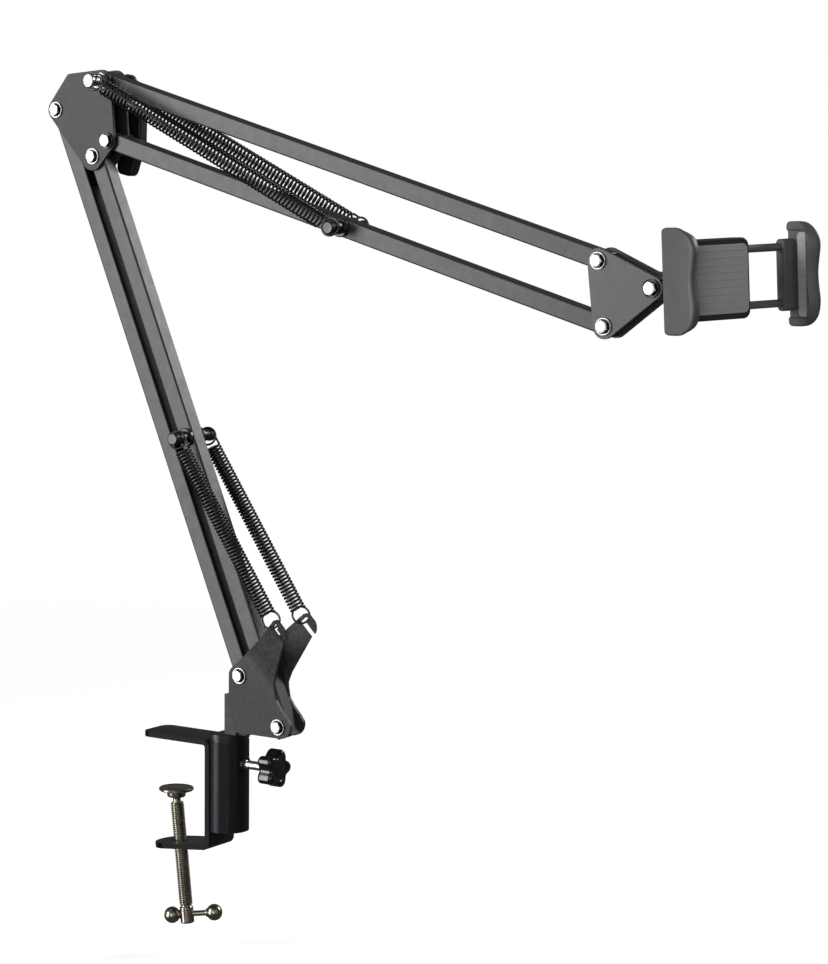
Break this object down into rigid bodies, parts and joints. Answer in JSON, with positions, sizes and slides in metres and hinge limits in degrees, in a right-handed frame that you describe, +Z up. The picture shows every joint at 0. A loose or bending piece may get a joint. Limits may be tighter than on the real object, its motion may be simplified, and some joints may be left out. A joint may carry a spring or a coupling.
{
  "type": "desk clamp phone holder arm",
  "caption": "Spring-balanced parallelogram desk-clamp arm with a swivelling ball-jointed clip whose spring-closed jaws hold a phone or small tablet.",
  "frame": {"origin": "in the middle of the clamp's top plate, on the underside that bears on the desk face", "axes": "+Z up, +X from the clamp along the arm's plane towards the clip, +Y across the arm away from the side with the bolt heads"},
  "size_m": [0.4782, 0.0839, 0.4881],
  "materials": {
    "coat_black": "satin black powder coat",
    "bush_plastic": "moulded black plastic",
    "nickel": "nickel-plated steel, slightly warm",
    "bright_zinc": "bright plated steel",
    "knob_plastic": "glossy black moulded plastic",
    "coat_grey": "satin dark grey coat",
    "coat_dark": "satin charcoal coat",
    "spring_black": "blackened spring wire",
    "pin_black": "blackened steel",
    "roller_plastic": "black nylon",
    "spring_steel": "plain spring wire",
    "joint_plastic": "black moulded plastic",
    "jaw_plastic": "dark grey moulded plastic, finely textured",
    "pad_rubber": "light grey rubber"
  },
  "bodies": {
    "clamp": {"clamp_bracket": "coat_black", "socket_shell": "coat_black", "socket_bush": "bush_plastic"},
    "pad": {"screw_pad": "nickel"},
    "screw": {"clamp_screw": "nickel"},
    "bar": {"tommy_bar": "nickel", "tommy_bar_balls": "nickel"},
    "lock_knob": {"lock_stud": "bright_zinc", "lock_knob": "knob_plastic"},
    "base": {"base_bracket": "coat_dark", "swivel_pin": "nickel", "base_bolts": "bright_zinc", "base_washers": "bright_zinc", "base_nuts": "bright_zinc"},
    "lower_left": {"lower_tube_left": "coat_grey"},
    "lower_right": {"lower_tube_right": "coat_grey", "lower_spring_pin": "pin_black"},
    "lower_rollers": {"lower_pin_rollers": "roller_plastic"},
    "lower_springs": {"lower_spring_front": "spring_black", "lower_spring_back": "spring_black"},
    "elbow": {"elbow_plate_front": "coat_dark", "elbow_plate_back": "coat_dark", "elbow_bolts": "bright_zinc", "elbow_washers": "bright_zinc", "elbow_nuts": "bright_zinc", "elbow_knob_bolt": "bright_zinc", "elbow_knob_washer": "pin_black", "spring_post": "bright_zinc", "post_cap": "pin_black", "post_collars": "bright_zinc"},
    "elbow_knob": {"elbow_knob": "knob_plastic"},
    "upper_top": {"upper_tube_top": "coat_grey"},
    "upper_bottom": {"upper_tube_bottom": "coat_grey", "friction_plug": "roller_plastic", "upper_spring_pin": "pin_black"},
    "upper_rollers": {"upper_pin_rollers": "roller_plastic"},
    "upper_springs": {"upper_spring_front": "spring_black", "upper_spring_back": "spring_black"},
    "tip": {"tip_plate_front": "coat_dark", "tip_plate_back": "coat_dark", "tip_bolts": "bright_zinc", "tip_washers": "bright_zinc", "tip_nuts": "bright_zinc", "tip_knob_bolt": "bright_zinc", "tip_knob_washer": "pin_black"},
    "tip_knob": {"tip_knob": "knob_plastic"},
    "adapter": {"ball_socket": "joint_plastic"},
    "ring": {"socket_ring": "joint_plastic"},
    "ball": {"clip_ball": "joint_plastic"},
    "neck": {"clip_stud": "joint_plastic"},
    "clip": {"clip_body": "joint_plastic", "back_pad": "pad_rubber", "fixed_jaw": "jaw_plastic", "fixed_pad": "pad_rubber", "jaw_springs": "spring_steel"},
    "slider": {"sliding_jaw": "jaw_plastic", "sliding_pad": "pad_rubber", "jaw_rods": "bright_zinc"}
  },
  "joints": [
    {"name": "pad_travel", "type": "slide", "parent": "clamp", "child": "pad", "axis": [-0.1097, 0, 0.994], "range_m": [-0.021, 0.028]},
    {"name": "screw_turn", "type": "hinge", "parent": "pad", "child": "screw", "pos_m": [-0.0034, 0, -0.0608], "axis": [-0.1097, 0, 0.994], "continuous": true},
    {"name": "bar_slide", "type": "slide", "parent": "screw", "child": "bar", "axis": [0.8856, 0.454, 0.0978], "range_m": [-0.0076, 0]},
    {"name": "lock_knob_turn", "type": "hinge", "parent": "clamp", "child": "lock_knob", "pos_m": [0.0572, 0, -0.0105], "axis": [1, 0, 0], "continuous": true},
    {"name": "base_swivel", "type": "hinge", "parent": "clamp", "child": "base", "pos_m": [0.0352, 0, 0], "axis": [0, 0, 1], "continuous": true},
    {"name": "lower_arm", "type": "hinge", "parent": "base", "child": "lower_left", "pos_m": [0.04376, 0, 0.04143], "axis": [0, -1, 0], "range_deg": [-46, 6]},
    {"name": "lower_right_link", "type": "hinge", "parent": "base", "child": "lower_right", "pos_m": [0.07044, 0, 0.01515], "axis": [0, -1, 0], "range_deg": [-46.5, 6.5]},
    {"name": "elbow_link", "type": "hinge", "parent": "lower_left", "child": "elbow", "pos_m": [-0.08768, 0, 0.35641], "axis": [0, -1, 0], "range_deg": [-6.5, 46.5]},
    {"name": "lower_spring_swing", "type": "hinge", "parent": "base", "child": "lower_springs", "pos_m": [0.0703, 0, 0.0765], "axis": [0, -1, 0], "range_deg": [-70, 9.5], "deforming": ["lower_spring_front", "lower_spring_back"]},
    {"name": "lower_roller_turn", "type": "hinge", "parent": "lower_right", "child": "lower_rollers", "pos_m": [0.00451, 0, 0.17315], "axis": [0, -1, 0], "range_deg": [-24, 3.5]},
    {"name": "upper_arm", "type": "hinge", "parent": "elbow", "child": "upper_top", "pos_m": [-0.05452, 0, 0.37241], "axis": [0, -1, 0], "range_deg": [-14, 40]},
    {"name": "upper_bottom_link", "type": "hinge", "parent": "elbow", "child": "upper_bottom", "pos_m": [-0.05063, 0, 0.33901], "axis": [0, -1, 0], "range_deg": [-14.5, 40.5]},
    {"name": "tip_link", "type": "hinge", "parent": "upper_top", "child": "tip", "pos_m": [0.26941, 0, 0.27983], "axis": [0, -1, 0], "range_deg": [-40.5, 14.5]},
    {"name": "upper_spring_swing", "type": "hinge", "parent": "elbow", "child": "upper_springs", "pos_m": [-0.05452, 0, 0.37241], "axis": [0, -1, 0], "range_deg": [-13.5, 37], "deforming": ["upper_spring_front", "upper_spring_back"]},
    {"name": "upper_roller_turn", "type": "hinge", "parent": "upper_bottom", "child": "upper_rollers", "pos_m": [0.10927, 0, 0.29331], "axis": [0, -1, 0], "range_deg": [-4, 1.5]},
    {"name": "elbow_knob_turn", "type": "hinge", "parent": "elbow", "child": "elbow_knob", "pos_m": [-0.05063, 0, 0.33901], "axis": [0, 1, 0], "continuous": true},
    {"name": "adapter_tilt", "type": "hinge", "parent": "tip", "child": "adapter", "pos_m": [0.3004, 0, 0.26673], "axis": [0, -1, 0], "range_deg": [-45, 60]},
    {"name": "tip_knob_turn", "type": "hinge", "parent": "tip", "child": "tip_knob", "pos_m": [0.3004, 0, 0.26673], "axis": [0, 1, 0], "continuous": true},
    {"name": "ring_turn", "type": "hinge", "parent": "adapter", "child": "ring", "pos_m": [0.31989, 0, 0.27123], "axis": [0.9744, 0, 0.225], "continuous": true},
    {"name": "ball_pan", "type": "hinge", "parent": "adapter", "child": "ball", "pos_m": [0.32574, 0, 0.27258], "axis": [0, 0, 1], "range_deg": [-9, 60]},
    {"name": "ball_tilt", "type": "hinge", "parent": "ball", "child": "neck", "pos_m": [0.32574, 0, 0.27258], "axis": [0.4338, 0.9002, 0.0384], "range_deg": [-15, 15]},
    {"name": "clip_roll", "type": "hinge", "parent": "neck", "child": "clip", "pos_m": [0.32574, 0, 0.27258], "axis": [0.8998, -0.435, 0.0332], "range_deg": [-90, 90]},
    {"name": "jaw_slide", "type": "slide", "parent": "clip", "child": "slider", "axis": [0.4338, 0.9002, 0.0384], "range_m": [-0.0195, 0.0055], "stiffness_N_per_m": 400, "springref_m": -0.02, "deforming": ["jaw_springs"]}
  ],
  "couplings": [
    {"joint": "screw_turn", "follows": "pad_travel", "rad_per_m": 5026.5},
    {"joint": "lower_right_link", "follows": "lower_arm", "ratio": 1},
    {"joint": "elbow_link", "follows": "lower_arm", "ratio": -1},
    {"joint": "lower_spring_swing", "follows": "lower_arm", "ratio": 1.51},
    {"joint": "lower_roller_turn", "follows": "lower_arm", "ratio": 0.51},
    {"joint": "upper_bottom_link", "follows": "upper_arm", "ratio": 1},
    {"joint": "tip_link", "follows": "upper_arm", "ratio": -1},
    {"joint": "upper_spring_swing", "follows": "upper_arm", "ratio": 0.912},
    {"joint": "upper_roller_turn", "follows": "upper_arm", "ratio": -0.088}
  ]
}
